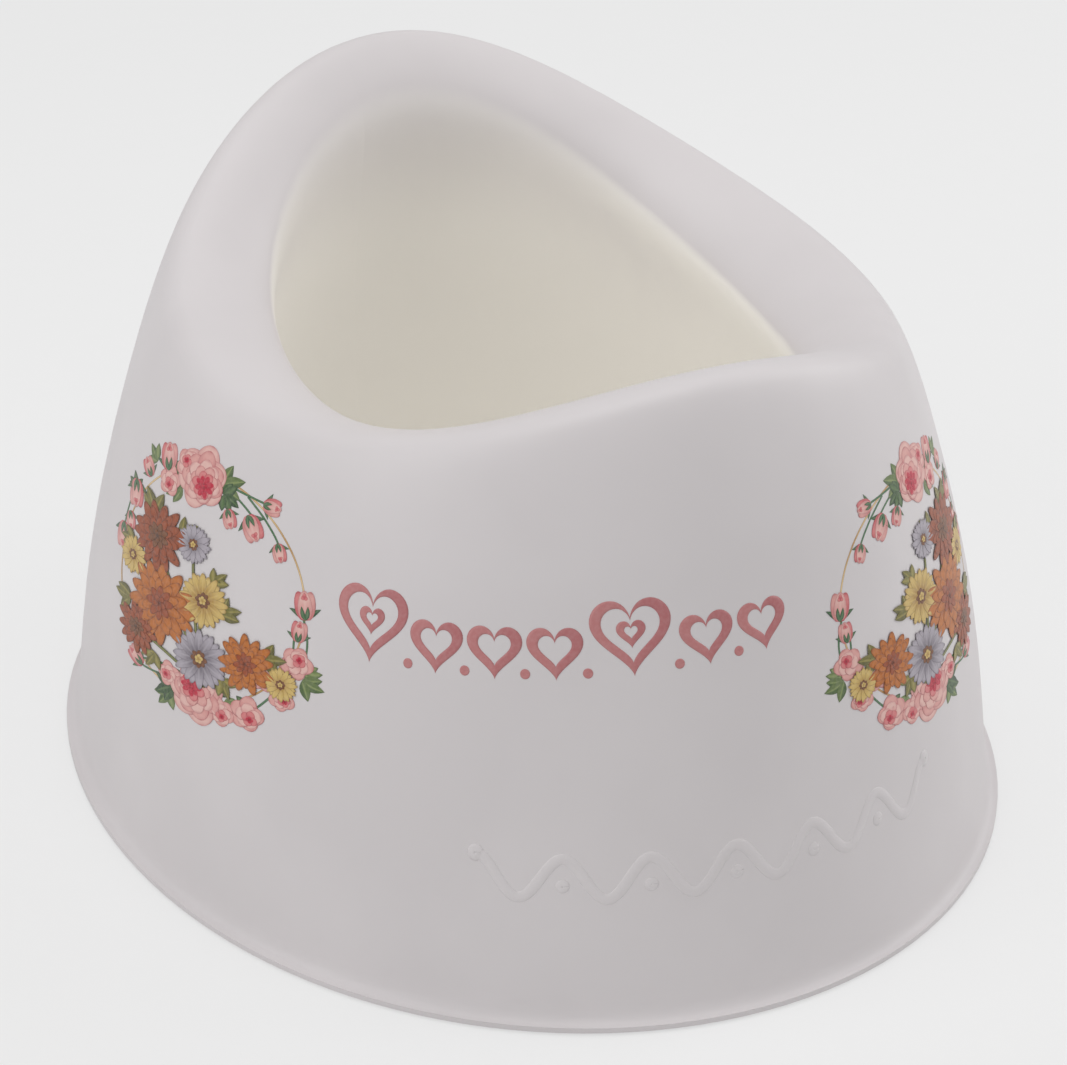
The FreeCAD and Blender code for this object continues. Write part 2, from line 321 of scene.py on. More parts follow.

# %% [markdown]
# ## The moulded plastic
# The shell is polypropylene with a satin finish, off-white with a trace of grey-pink. Looked at
# closely it isn't one flat colour: the pigment drifts a little, and the tool leaves a fine spark
# texture. The inside of the bowl is painted much lighter and a touch warmer: the warm tint is the
# plastic's own, and the lightness is painted light that offsets the shade deep in the bowl. Walls
# that face the axis above the bowl's lip keep only a share of it. The mask for the inside compares
# the direction of the surface with the direction away from the axis, and adds the low ground near
# the axis, which is the floor of the bowl. The mask is worked out in the object's own space.

# %% Potty plastic
OUTSIDE = colour(218, 213, 214)
OUTSIDE_DRIFT = colour(214, 209, 210)
# painted light: the inside of the bowl is far lighter than the outside to offset the shade in the
# bowl; its slight warmth is the plastic's own
BOWL_TINT_AND_PAINTED_LIGHT = colour(250, 247, 241)
BOWL_FLOOR_RADIUS = 0.095
BOWL_FLOOR_HEIGHT = 0.05
BOWL_FLOOR_BLEND = 0.02       # in metres, upwards, and
BOWL_WALL_BLEND = 0.005       # inwards
INWARD = (-0.99, -0.86)       # fully turned to the axis, and not enough to count as inside
BOWL_DEEP = 0.13              # below this height the inside has its full tone
BOWL_LIP = 0.19               # above this one it has only a share of it
LIP_SHARE = 0.35
PLASTIC_IOR = 1.49
PLASTIC_SPECULAR = 0.4


def make_plastic():
    """Satin plastic; where the surface belongs to the bowl it is a touch warmer and painted much
    lighter, as painted light against the shade in the bowl.
    """
    look = Shader("potty_plastic")
    drift = look.noise(14.0, detail=3.0).ramp(0.35, 0.65)
    body = look.mix(drift, OUTSIDE, OUTSIDE_DRIFT)
    level = look.node("VectorMath", {"operation": "MULTIPLY"}, Vector=look.place())
    level.socket.node.inputs[1].default_value = (1.0, 1.0, 0.0)
    away = look.node("VectorMath", {"operation": "NORMALIZE"}, Vector=level)
    facing = look.tree.nodes.new("ShaderNodeVectorMath")
    facing.operation = "DOT_PRODUCT"
    normal = look.node("TexCoord", out="Normal")
    look.tree.links.new(away.socket, facing.inputs[0])
    look.tree.links.new(normal.socket, facing.inputs[1])
    outward = Wire(look.tree, facing.outputs["Value"])
    wall = 1 - outward.ramp(*INWARD)
    height = look.node("SeparateXYZ", out="Z", Vector=look.place())
    wall *= 1 - height.ramp(BOWL_DEEP, BOWL_LIP) * (1 - LIP_SHARE)
    radius = look.node("VectorMath", {"operation": "LENGTH"}, out="Value", Vector=level)
    low = 1 - height.ramp(BOWL_FLOOR_HEIGHT, BOWL_FLOOR_HEIGHT + BOWL_FLOOR_BLEND)
    middle = 1 - radius.ramp(BOWL_FLOOR_RADIUS - BOWL_WALL_BLEND, BOWL_FLOOR_RADIUS)
    # mask of the painted light in the bowl: walls turned to the axis, fading above the lip, plus the
    # bowl's floor
    inside = wall.math("MAXIMUM", low * middle)
    look.set(Base_Color=look.mix(inside, body, BOWL_TINT_AND_PAINTED_LIGHT))
    gloss_drift = look.noise(30.0, detail=4.0)
    look.set(Roughness=gloss_drift * 0.08 + 0.40)
    spark = look.noise(2600.0, detail=3.0, roughness=0.6)
    wave = look.noise(45.0, detail=1.0)
    look.bump(spark * 0.25 + wave, 0.00012, 0.35)
    look.surface.inputs["IOR"].default_value = PLASTIC_IOR
    look.surface.inputs["Specular IOR Level"].default_value = PLASTIC_SPECULAR
    return look


plastic = make_plastic()
plastic.paint(shell)
for face in shell.data.polygons:
    face.use_smooth = True
print("shell faces:", len(shell.data.polygons))

# %% [markdown]
# ## The rubber feet
# The feet are soft thermoplastic rubber, matt and darker than the shell, so that they grip a wet
# floor. They are the frame's own solids: only their surface is made here.

# %% Foot rubber
RUBBER = colour(150, 148, 147)
RUBBER_BLOOM = colour(164, 162, 160)


def make_rubber():
    """Matt rubber with the pale bloom that it gets in use."""
    look = Shader("foot_rubber")
    bloom = look.noise(400.0, detail=4.0).ramp(0.3, 0.75)
    look.set(Base_Color=look.mix(bloom, RUBBER, RUBBER_BLOOM))
    look.set(Roughness=bloom * 0.12 + 0.72)
    look.bump(look.noise(3500.0, detail=2.0), 0.00015, 0.5)
    return look


rubber = make_rubber()
feet = sorted(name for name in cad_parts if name.startswith("foot_"))
for name in feet:
    rubber.paint(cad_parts[name])
print("feet:", feet)

# %% [markdown]
# ## A flat sheet on a round skirt
# A print is drawn flat and then wraps round the seat. `Patch` does the wrapping: it takes a flat
# point, to the right and up in metres, turns it into an angle and a height, and shoots a ray at
# the skirt there. The hit is the place of that point, lifted off by a hair so that ink lies on
# plastic. Flat points are complex numbers, because a turn is then one multiplication.

# %% Patch: flat art onto the skirt
REACH = 0.4                    # rays start this far from the axis, in metres


def shell_tree():
    mesh = shell.data
    corners = [vertex.co.copy() for vertex in mesh.vertices]
    return BVHTree.FromPolygons(corners, [tuple(face.vertices) for face in mesh.polygons])


tree_of_shell = shell_tree()


def skirt_hit(turn, height):
    """Where the skirt is at an angle from the front and a height, and its normal there."""
    outward = Vector((math.sin(turn), -math.cos(turn), 0))
    hit, normal, _, _ = tree_of_shell.ray_cast(outward * REACH + Vector((0, 0, height)), -outward)
    return hit, normal


class Patch:
    """A place on the skirt, with flat coordinates round it."""

    def __init__(self, turn, height, lean=0.0, mirror=1):
        self.turn = turn
        self.height = height
        self.spin = complex(math.cos(lean), math.sin(lean))
        self.mirror = mirror
        centre = skirt_hit(turn, height)[0]
        self.radius = math.hypot(centre.x, centre.y)

    def point(self, flat, lift):
        leaned = flat * self.spin
        turn = self.turn + self.mirror * leaned.real / self.radius
        hit, normal = skirt_hit(turn, self.height + leaned.imag)
        return hit + normal * lift


def middle_of(node):
    """Angle from the front and height of the middle of a film in the frame."""
    points = [vertex.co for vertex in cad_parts[node].data.vertices]
    turns = [math.atan2(point.x, -point.y) for point in points]
    heights = [point.z for point in points]
    return (min(turns) + max(turns)) / 2, (min(heights) + max(heights)) / 2


FILMS = ("wreath_print_left", "wreath_print_right", "heart_row_print")
for film in FILMS:
    turn, height = middle_of(film)
    print(film, "sits at", round(math.degrees(turn), 1), "degrees,", round(height / MM), "mm up")

# %% [markdown]
# ## Ink
# A printed flower is many small painted shapes that overlap. `Print` collects them as one mesh:
# each shape is a little grid of points that carry their own colour, and the shader reads that
# colour. So the drawing is crisp at any distance, and no picture file is needed. Every shape is
# given a trace of thickness, which makes each one a closed body.

# %% Print
INK_LIFT = 0.04 * MM
INK_THICKNESS = 0.02 * MM
LAYER = 0.012 * MM            # how far one layer of ink lies above the one below


def mingle(first, second, share):
    """A colour part of the way from one to the other."""
    share = min(max(share, 0.0), 1.0)
    return tuple(a + (b - a) * share for a, b in zip(first, second))


def eased(low, high, value):
    """0 below low, 1 above high and smooth between."""
    value = min(max((value - low) / (high - low), 0.0), 1.0)
    return value * value * (3 - 2 * value)


class Print:
    """One film: painted shapes that lie one over the other on the skirt."""

    def __init__(self, name, patch, stretch=1.0, taper=0.0):
        self.name = name
        self.patch = patch
        self.stretch = stretch
        self.taper = taper
        self.points = []
        self.inks = []
        self.faces = []

    def step(self, centre, local):
        """A step inside a shape that is drawn round centre, as a point of the film."""
        widening = self.stretch - self.taper * centre.real
        return centre + complex(local.real * widening, local.imag)

    def put(self, centre, local, layer, ink):
        """One point of a shape: its centre on the film plus its own drawing."""
        self.points.append(self.patch.point(self.step(centre, local), INK_LIFT + layer * LAYER))
        self.inks.append(ink)

    def weave(self, first, rows, columns):
        """Faces for a grid of points that begins at the index first."""
        for row in range(rows - 1):
            for column in range(columns - 1):
                corner = first + row * columns + column
                face = (corner, corner + 1, corner + columns + 1, corner + columns)
                self.faces.append(face if self.patch.mirror < 0 else face[::-1])

    def piece(self, look, slot, *nodes):
        """The finished mesh, standing for the frame's film."""
        data = bpy.data.meshes.new(self.name)
        data.from_pydata(self.points, [], self.faces)
        layer = data.attributes.new("Ink", "FLOAT_COLOR", "POINT")
        layer.data.foreach_set("color", [part for ink in self.inks for part in ink])
        data.polygons.foreach_set("use_smooth", [True] * len(data.polygons))
        made = bpy.data.objects.new(self.name, data)
        bpy.context.scene.collection.objects.link(made)
        film = made.modifiers.new("film", "SOLIDIFY")
        film.thickness = INK_THICKNESS
        film.offset = -1.0
        look.paint(made)
        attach(made, "root")
        if nodes:
            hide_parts(*nodes)
        print(self.name, "has", len(self.points), "points and", len(self.faces), "faces")
        return made


print("one layer of ink is", round(LAYER * 1e6), "micrometres")

# %% Ink
MOTTLE = colour(252, 240, 236)
MOTTLE_SHARE = 0.06


def make_ink():
    """Printed ink: its own colour with a slight mottle, a little shinier than the plastic."""
    look = Shader("printed_ink")
    ink = look.node("Attribute", {"attribute_name": "Ink"}, out="Color")
    mottle = look.noise(900.0, detail=3.0).ramp(0.3, 0.75) * MOTTLE_SHARE
    look.set(Base_Color=look.mix(mottle, ink, MOTTLE))
    look.set(Roughness=look.noise(500.0) * 0.10 + 0.36)
    look.bump(look.noise(2200.0, detail=2.0), 0.00004, 0.4)
    return look


printed_ink = make_ink()
print("ink material:", printed_ink.material.name)

# %% [markdown]
# ## Petals and leaves
# Both are blades: a grid along a midline whose width follows a profile. A petal is broad and
# round at its tip, and a leaf is pointed at both ends. The colour is worked out from the place
# on the blade, deep at the base, pale before the tip, with a thin darker rim. Neighbouring
# petals lap over each other like shingles, so one side of each lies a little higher.

# %% Blades
ACROSS = (-1.0, -0.9, -0.62, -0.3, 0.0, 0.3, 0.62, 0.9, 1.0)
ALONG = (0.0, 0.06, 0.18, 0.34, 0.5, 0.66, 0.8, 0.91, 0.97, 1.0)
ACROSS_SMALL = (-1.0, -0.78, 0.0, 0.78, 1.0)
ALONG_SMALL = (0.0, 0.12, 0.34, 0.58, 0.8, 0.94, 1.0)
LONG_BLADE = 5.5 * MM         # from this length on, a blade gets the finer grid
SHINGLE = 0.9                 # how far, in layers, one side of a blade lies above the other
ROUND_TIP = 0.8
NARROWEST = 0.03


def petal_width(along):
    return max(math.sin(math.pi * along ** ROUND_TIP) ** 0.5 if 0 < along < 1 else 0, NARROWEST)


def leaf_width(along):
    return max(math.sin(math.pi * along ** 0.85) ** 0.85 if 0 < along < 1 else 0, NARROWEST)


def blade(art, base, heading, length, width, layer, profile, ink, bend=0.0):
    """A petal or leaf from its base point; bend curls the midline sideways, in radians."""
    first = len(art.points)
    fine = length >= LONG_BLADE
    rows, columns = (ALONG, ACROSS) if fine else (ALONG_SMALL, ACROSS_SMALL)
    for along in rows:
        turn = heading + bend * along
        for across in columns:
            side = across * width / 2 * profile(along)
            local = complex(along * length, side)
            local *= complex(math.cos(turn), math.sin(turn))
            art.put(base, local, layer + SHINGLE * across, ink(along, across))
    art.weave(first, len(rows), len(columns))


print("points in a fine blade:", len(ALONG) * len(ACROSS))

# %% [markdown]
# ## Colours of the flowers
# An ink for a blade is a function: it is told how far along and how far across a point lies, and
# gives its colour. `petal_ink` and `leaf_ink` make such functions from three tones each, so that
# a new kind of flower costs one line.

# %% Petal and leaf inks


def petal_ink(deep, pale, rim):
    """Ink for a petal: deep base, pale body, faint veins and a darker rim."""
    def ink(along, across):
        body = mingle(deep, pale, eased(0.0, 0.75, along + 0.15 * math.cos(7 * across)))
        edge = max(eased(0.86, 1.0, along), eased(0.8, 1.0, abs(across)) * eased(0.1, 0.4, along))
        return mingle(body, rim, 0.75 * edge)
    return ink


def leaf_ink(dark, light, rib):
    """Ink for a leaf: a pale rib, one half lighter than the other, side veins."""
    def ink(along, across):
        half = 0.35 + 0.35 * eased(-0.4, 0.4, across) + 0.12 * math.sin(22 * along - 5 * abs(across))
        body = mingle(dark, light, half)
        return mingle(rib, body, eased(0.0, 0.22, abs(across)) if along < 0.93 else 1.0)
    return ink


BLUSH = petal_ink(colour(195, 99, 103), colour(219, 162, 155), colour(173, 84, 92))
SHELL_PINK = petal_ink(colour(205, 121, 121), colour(226, 183, 174), colour(184, 100, 106))
ROSE = petal_ink(colour(182, 65, 78), colour(212, 124, 124), colour(164, 53, 68))
CRIMSON = petal_ink(colour(132, 6, 32), colour(190, 30, 58), colour(210, 77, 100))
SEPAL = leaf_ink(colour(27, 66, 46), colour(70, 103, 65), colour(86, 121, 81))
LEAF = leaf_ink(colour(47, 77, 44), colour(110, 128, 71), colour(137, 151, 94))
LEAF_DARK = leaf_ink(colour(23, 52, 34), colour(65, 94, 52), colour(94, 119, 74))
OLIVE = leaf_ink(colour(67, 67, 26), colour(128, 121, 53), colour(155, 144, 75))
AMBER = petal_ink(colour(122, 48, 10), colour(188, 108, 32), colour(102, 43, 14))
RUST = petal_ink(colour(80, 30, 12), colour(153, 71, 27), colour(72, 30, 14))
CREAM = petal_ink(colour(161, 120, 50), colour(208, 179, 106), colour(134, 100, 49))
LILAC = petal_ink(colour(104, 96, 106), colour(171, 164, 173), colour(86, 77, 89))
SEED = petal_ink(colour(58, 30, 16), colour(120, 70, 31), colour(44, 24, 14))
print("a rose petal in the middle:", [round(part, 2) for part in ROSE(0.5, 0.0)])

# %% [markdown]
# ## Flowers
# A garden rose seen at a slant is rings of petals that get smaller and redder, and each ring is
# moved a little towards the side that faces us. A bud is three petals in a cup of sepals. A
# daisy is two rings of narrow petals round a stippled eye, and a dahlia is five rings that get
# shorter. The seeded random numbers give every flower its own small errors, and the same ones
# at each run.

# %% Roses
SEED_NUMBER = 7
chance = random.Random(SEED_NUMBER)
ROSE_LAYER = 7
SMALL_ROSE_LAYER = 6
RING_STEP = 2.2               # layers from one ring of petals to the next


def wobble(amount):
    return chance.uniform(-amount, amount)


def ray(angle, length):
    return complex(math.cos(angle), math.sin(angle)) * length


def petal_ring(art, centre, count, inner, outer, width, layer, ink, start):
    """Petals side by side round a centre, each from radius inner to radius outer."""
    for index in range(count):
        angle = start + 2 * math.pi * index / count + wobble(0.12)
        reach = (outer - inner) * (1 + wobble(0.08))
        base = art.step(centre, ray(angle, inner))
        blade(art, base, angle, reach, width, layer, petal_width, ink)


def rose(art, centre, size, facing):
    """A full rose; facing is the side its red heart leans to."""
    lean = ray(facing, size)
    rings = (   # petals, inner, outer, width, drift, ink
        (6, 0.22, 1.00, 0.92, 0.00, SHELL_PINK),
        (7, 0.14, 0.84, 0.70, 0.05, BLUSH),
        (7, 0.10, 0.70, 0.56, 0.11, SHELL_PINK),
        (7, 0.08, 0.56, 0.46, 0.18, BLUSH),
        (6, 0.06, 0.45, 0.36, 0.25, ROSE),
        (8, 0.12, 0.36, 0.19, 0.32, CRIMSON),
        (7, 0.05, 0.25, 0.15, 0.34, CRIMSON),
        (4, 0.00, 0.13, 0.11, 0.36, CRIMSON),
    )
    for level, (count, inner, outer, width, drift, ink) in enumerate(rings):
        middle = art.step(centre, lean * drift)
        petal_ring(art, middle, count, inner * size, outer * size, width * size,
                   ROSE_LAYER + RING_STEP * level, ink, chance.uniform(0, math.pi))


def small_rose(art, centre, size, facing):
    """A half open rose: two rings and a small red eye."""
    lean = ray(facing, size)
    rings = (   # petals, inner, outer, width, drift, ink
        (5, 0.10, 1.00, 1.00, 0.00, BLUSH),
        (5, 0.05, 0.72, 0.80, 0.12, SHELL_PINK),
        (4, 0.03, 0.45, 0.50, 0.25, ROSE),
        (4, 0.00, 0.20, 0.22, 0.30, CRIMSON),
    )
    for level, (count, inner, outer, width, drift, ink) in enumerate(rings):
        middle = art.step(centre, lean * drift)
        petal_ring(art, middle, count, inner * size, outer * size, width * size,
                   SMALL_ROSE_LAYER + RING_STEP * level, ink, chance.uniform(0, math.pi))


print("a rose reaches layer", ROSE_LAYER + round(RING_STEP * 7))

# %% Buds and sprays


def bud(art, centre, size, facing):
    """A closed rose: sepals behind a pointed cup of petals; facing is where its tip points."""
    back = art.step(centre, ray(facing, size * -0.75))
    for side in (-1, 0, 1):
        blade(art, back, facing + 0.75 * side, size * 1.25, size * 0.36, 3, leaf_width,
              SEPAL, bend=0.25 * side)
    for side, ink in ((-1, BLUSH), (1, ROSE), (0, SHELL_PINK)):
        layer = 5 if side else 7.5
        blade(art, back, facing + 0.26 * side, size * 1.75, size * 0.98, layer, petal_width, ink)
    tip = art.step(centre, ray(facing, size * 0.62))
    petal_ring(art, tip, 3, 0.0, size * 0.26, size * 0.26, 10, ROSE, facing)
    for side in (-1, 1):
        blade(art, back, facing + 0.55 * side, size * 0.85, size * 0.3, 11, leaf_width, SEPAL,
              bend=-0.3 * side)


def spray(art, base, size, heading, ink, count=5, layer=2):
    """A rose leaf: leaflets in a fan on a short stalk."""
    for index in range(count):
        side = index - (count - 1) / 2
        length = size * (1.0 - 0.13 * abs(side))
        blade(art, base, heading + 0.66 * side + wobble(0.08), length, size * 0.46,
              layer + 0.5 * index, leaf_width, ink, bend=wobble(0.25))


print("sprays lie below the roses, on layer 2 and up")

# %% Daisies and dahlias
DAISY_PETALS = 12
POSY = 26                     # layer of the posy, above every rose of the wreath


def daisy(art, centre, size, ink):
    """Two rings of narrow petals and a dark stippled eye; it lies above the roses."""
    for ring in (0, 1):
        for index in range(DAISY_PETALS):
            angle = 2 * math.pi * (index + 0.5 * ring) / DAISY_PETALS + wobble(0.06)
            base = art.step(centre, ray(angle, size * 0.12))
            length = size * (0.88 - 0.06 * ring) * (1 + wobble(0.05))
            blade(art, base, angle, length, size * 0.34, POSY - 2 * ring, petal_width, ink)
    petal_ring(art, centre, 8, 0.06 * size, size * 0.30, size * 0.20, POSY + 2, SEED, 0.0)
    petal_ring(art, centre, 5, 0.0, size * 0.16, size * 0.15, POSY + 4, CREAM, 0.3)


def dahlia(art, centre, size, ink, heart):
    """Five rings of narrow petals that shorten towards a darker middle."""
    rings = (   # petals, inner, outer, width, ink
        (13, 0.20, 1.00, 0.36, ink),
        (12, 0.14, 0.80, 0.31, ink),
        (10, 0.08, 0.60, 0.26, ink),
        (8, 0.04, 0.40, 0.21, heart),
        (5, 0.00, 0.20, 0.15, heart),
    )
    for level, (count, inner, outer, width, shade) in enumerate(rings):
        petal_ring(art, centre, count, inner * size, outer * size, width * size,
                   POSY + RING_STEP * level, shade, chance.uniform(0, math.pi))


print("posy on layer", POSY, "and up")

# %% [markdown]
# ## A ribbon
# The ring, the stems and later the wave are all one thing: a band that follows a line. `stroke`
# lays seven points across the line at each step, square to it. With a crown the middle of the
# band stands up, and the band becomes a rounded bead of plastic.

# %% Stroke
RIBBON_SIDES = (-1.0, -0.72, -0.4, 0.0, 0.4, 0.72, 1.0)


def stroke(art, points, width, layer, ink, closed=False, crown=0.0):
    """A ribbon along flat points; crown is how many layers its middle stands above its sides."""
    count = len(points)
    first = len(art.points)
    steps = count + 1 if closed else count
    for index in range(steps):
        here = points[index % count]
        after = points[(index + 1) % count] if closed else points[min(index + 1, count - 1)]
        before = points[index - 1] if closed else points[max(index - 1, 0)]
        along = after - before
        across = along / abs(along) * 1j
        for side in RIBBON_SIDES:
            rise = layer + crown * (1 - side * side)
            art.put(here, across * side * width / 2, rise, ink(index / (steps - 1), side))
    art.weave(first, steps, len(RIBBON_SIDES))


print("points across a ribbon:", len(RIBBON_SIDES))

# %% [markdown]
# ## The wreaths
# A wreath is a fine gold ring with flowers tied to it. The layout is written as a gardener would
# set it: each entry is a kind of flower, its place on a ring of radius one, its size in
# millimetres and the way it faces in degrees. The right wreath is the mirror image of the left
# one, so one layout serves both. The ring is an oval, wider than high, and it leans a little.
# A posy in warm autumn tones fills the lower middle, in front of the ring.

# %% Wreath layout
RING_ACROSS = 46.0 * MM
RING_UP = 32.5 * MM
FLOWER_STRETCH = 1.5          # flowers are drawn wider than high in the middle of the ring,
FLOWER_TAPER = 0.35           # more so on its far side and less on its near side
WREATH_LEAN = math.radians(12)
RING_WIDTH = 0.55 * MM
RING_STEPS = 120
STEM_WIDTH = 0.6 * MM
STALK_WIDTH = 0.9 * MM

STEMS = (       # flat places on the unit ring that a green stem passes through
    (0.10, 0.98, 0.45, 0.88, 0.72, 0.80), (0.25, 0.92, 0.48, 0.78, 0.58, 0.66),
    (0.48, 0.86, 0.72, 0.66, 0.80, 0.46), (-0.92, 0.70, -1.02, 0.40, -1.04, 0.22),
    (0.98, -0.08, 1.04, -0.28, 0.98, -0.46), (0.92, -0.22, 0.90, -0.34, 0.90, -0.46),
    (-0.10, -0.80, -0.34, -0.76, -0.62, -0.86), (-0.16, -0.86, -0.38, -0.92, -0.60, -0.90),
    (0.56, -0.96, 0.74, -0.80, 0.84, -0.62),
)
SPRAYS = (      # place, size, heading
    (0.20, 0.90, 8.2, 28), (0.24, 0.84, 6.0, -12), (-0.24, 0.82, 6.6, 215), (-0.30, 0.90, 6.2, 190),
    (-0.62, 0.96, 5.6, 150), (-0.18, -0.96, 7.0, 205), (-0.22, -1.02, 6.2, 240),
    (0.24, -0.84, 6.0, 60), (0.96, -0.62, 6.6, -38), (0.52, -0.94, 5.4, -150),
    (0.98, -0.56, 5.2, 0), (-0.92, 0.62, 5.0, 100), (0.34, -0.92, 5.0, -30),
)
BUDS = (        # place, size, facing
    (0.70, 0.80, 3.4, -10), (0.54, 0.62, 4.4, -62), (0.32, 0.66, 3.2, -70),
    (0.79, 0.44, 3.1, -75), (1.00, 0.00, 4.6, 92), (0.95, -0.22, 3.4, 80),
    (-0.90, 0.60, 4.7, -80), (-0.93, 0.33, 3.1, -75), (-1.03, 0.16, 4.6, -85),
    (-0.64, -0.86, 3.6, 150), (-0.46, 1.02, 4.6, 100), (-0.74, 0.86, 3.4, 130),
)
SMALL_ROSES = (  # place, size, facing
    (0.52, -1.00, 5.2, -60), (0.92, -0.48, 4.9, 40), (0.66, -0.62, 5.2, 170),
    (-0.40, 0.84, 4.4, -100), (0.30, -1.04, 4.2, -80), (-0.20, 1.02, 4.6, 120),
    (0.80, -0.80, 4.0, -40), (-0.22, -0.86, 3.8, 200),
)
GREAT_ROSES = (  # place, size, facing
    (-0.02, 0.95, 9.0, -60), (0.08, -0.95, 9.0, 130),
)
print("flowers on the ring:", len(BUDS) + len(SMALL_ROSES) + len(GREAT_ROSES))

# %% Posy layout
POSY_FOOT = (0.14, -0.86)     # where the stalks of the posy meet
POSY_STALKS = POSY - 9        # layers of its stalks and leaves, behind its flowers
POSY_GREENS = POSY - 6
BOW_ACROSS = (0.35, 0.02)     # a stalk bows towards this share of its flower's place, plus this
BOW_UP = (0.5, -0.35)
POSY_LEAVES = (  # place, size, heading
    (-0.55, 0.50, 8.0, 110), (-0.16, 0.40, 6.5, 55), (-0.82, 0.16, 6.0, 165),
    (-0.78, -0.34, 7.0, 195), (0.30, -0.18, 6.5, 35), (0.66, -0.50, 7.0, 10),
    (0.30, -0.74, 6.0, -60), (-0.40, -0.72, 6.0, -110), (0.22, 0.06, 5.5, 60),
)
DAHLIAS = (     # place, size, ink, heart
    (-0.66, -0.58, 7.6, RUST, SEED), (0.52, -0.56, 8.6, AMBER, RUST),
    (-0.46, 0.32, 10.2, RUST, SEED), (-0.36, -0.26, 12.2, AMBER, RUST),
)
DAISIES = (     # place, size, ink
    (-0.80, 0.04, 5.6, CREAM), (-0.02, 0.36, 5.8, LILAC), (0.10, -0.62, 8.6, LILAC),
    (0.12, -0.10, 7.8, CREAM), (0.80, -0.68, 4.8, CREAM),
)
print("flowers in the posy:", len(DAHLIAS) + len(DAISIES))

# %% Wires, stems and stalks


def on_ring(x, y):
    """A place on the unit ring as a flat point on the film."""
    return complex(x * RING_ACROSS, y * RING_UP)


def gold_ink(along, across):
    glint = 0.5 + 0.5 * math.sin(2 * math.pi * 9 * along)
    body = mingle(colour(186, 146, 92), colour(226, 198, 146), glint)
    return mingle(body, colour(158, 118, 70), eased(0.4, 1.0, abs(across)))


def stem_ink(along, across):
    return mingle(colour(84, 124, 80), colour(40, 84, 58), eased(0.0, 1.0, abs(across)))


def stalk_ink(along, across):
    return mingle(colour(128, 128, 66), colour(84, 92, 48), eased(0.0, 1.0, abs(across)))


def curve_through(start, middle, end, steps=17):
    """Flat points along a bent line that starts, leans on its middle and ends."""
    points = []
    for step in range(steps):
        t = step / (steps - 1)
        points.append(start * (1 - t) ** 2 + middle * 2 * t * (1 - t) + end * t ** 2)
    return points


print("the top of the ring is", round(on_ring(0, 1).imag / MM, 1), "mm up")

# %% Draw the wreaths


def draw_wreath(art):
    turns = [2 * math.pi * step / RING_STEPS for step in range(RING_STEPS)]
    ring = [on_ring(math.cos(turn), math.sin(turn)) for turn in turns]
    stroke(art, ring, RING_WIDTH, 0.0, gold_ink, closed=True)
    for x0, y0, x1, y1, x2, y2 in STEMS:
        stem = curve_through(on_ring(x0, y0), on_ring(x1, y1), on_ring(x2, y2))
        stroke(art, stem, STEM_WIDTH, 1, stem_ink)
    for index, (x, y, size, heading) in enumerate(SPRAYS):
        ink = LEAF_DARK if index % 2 else LEAF
        spray(art, on_ring(x, y), size * MM, math.radians(heading), ink, count=3 + 2 * (index % 2))
    for kind, layout in ((bud, BUDS), (small_rose, SMALL_ROSES), (rose, GREAT_ROSES)):
        for x, y, size, facing in layout:
            kind(art, on_ring(x, y), size * MM, math.radians(facing))
    foot = on_ring(*POSY_FOOT)
    for x, y, *_ in DAHLIAS + DAISIES:
        bow = on_ring(BOW_ACROSS[0] * x + BOW_ACROSS[1], BOW_UP[0] * y + BOW_UP[1])
        stroke(art, curve_through(foot, bow, on_ring(x, y)), STALK_WIDTH, POSY_STALKS, stalk_ink)
    for x, y, size, heading in POSY_LEAVES:
        spray(art, on_ring(x, y), size * MM, math.radians(heading), OLIVE, 3, POSY_GREENS)
    for x, y, size, ink, heart in DAHLIAS:
        dahlia(art, on_ring(x, y), size * MM, ink, heart)
    for x, y, size, ink in DAISIES:
        daisy(art, on_ring(x, y), size * MM, ink)


def make_wreath(side, mirror):
    film = "wreath_print_" + side
    turn, height = middle_of(film)
    patch = Patch(turn, height, WREATH_LEAN, mirror)
    art = Print("flowers_" + side, patch, FLOWER_STRETCH, FLOWER_TAPER / RING_ACROSS)
    chance.seed(SEED_NUMBER)
    draw_wreath(art)
    return art.piece(printed_ink, "flower_print", film)


make_wreath("left", 1)
make_wreath("right", -1)

# %% [markdown]
# ## The row of hearts
# Between the wreaths runs a row of outlined hearts with dots between them, in one dusty rose.
# A heart is drawn from its well known formula with sines and cosines, as a closed ribbon with
# round shoulders, the way a broad felt pen would draw it. Each stands upright on the same height.

# %% Heart row
HEART_INK = colour(189, 122, 122)
HEART_SHADE = colour(179, 109, 111)
PEN = 2.5 * MM
HEARTS = (      # place along the row and height of each heart, in millimetres
    (-53.0, 21.0), (-33.0, 14.4), (-16.3, 14.4), (0.4, 14.4),
    (21.4, 21.0), (42.4, 14.4), (59.2, 14.0),
)
ROW_BASE = -10.0 * MM
ROW_LEAN = math.radians(2.8)  # the row climbs a little to the right
TALL = 15.0                   # hearts above this height, in millimetres, hold a second one
SMALL_HEART = 0.36            # its height, and how far it stands up, as a share of the first
SMALL_PEN = 0.7 * PEN
PEN_AT_POINT = 1.45           # thickness of the band at the point of a heart, in pens,
PEN_IN_ALL = 2.35             # and at the point and the notch together
CURVE_FOOT = 17.0             # the formula's heart reaches this far down
CURVE_TALL = 29.5             # and is this high
DOT = 0.55 * PEN
DOT_RISE = 0.7 * PEN


def heart_ink(along, across):
    return mingle(HEART_INK, HEART_SHADE, 0.5 + 0.5 * math.sin(2 * math.pi * along))


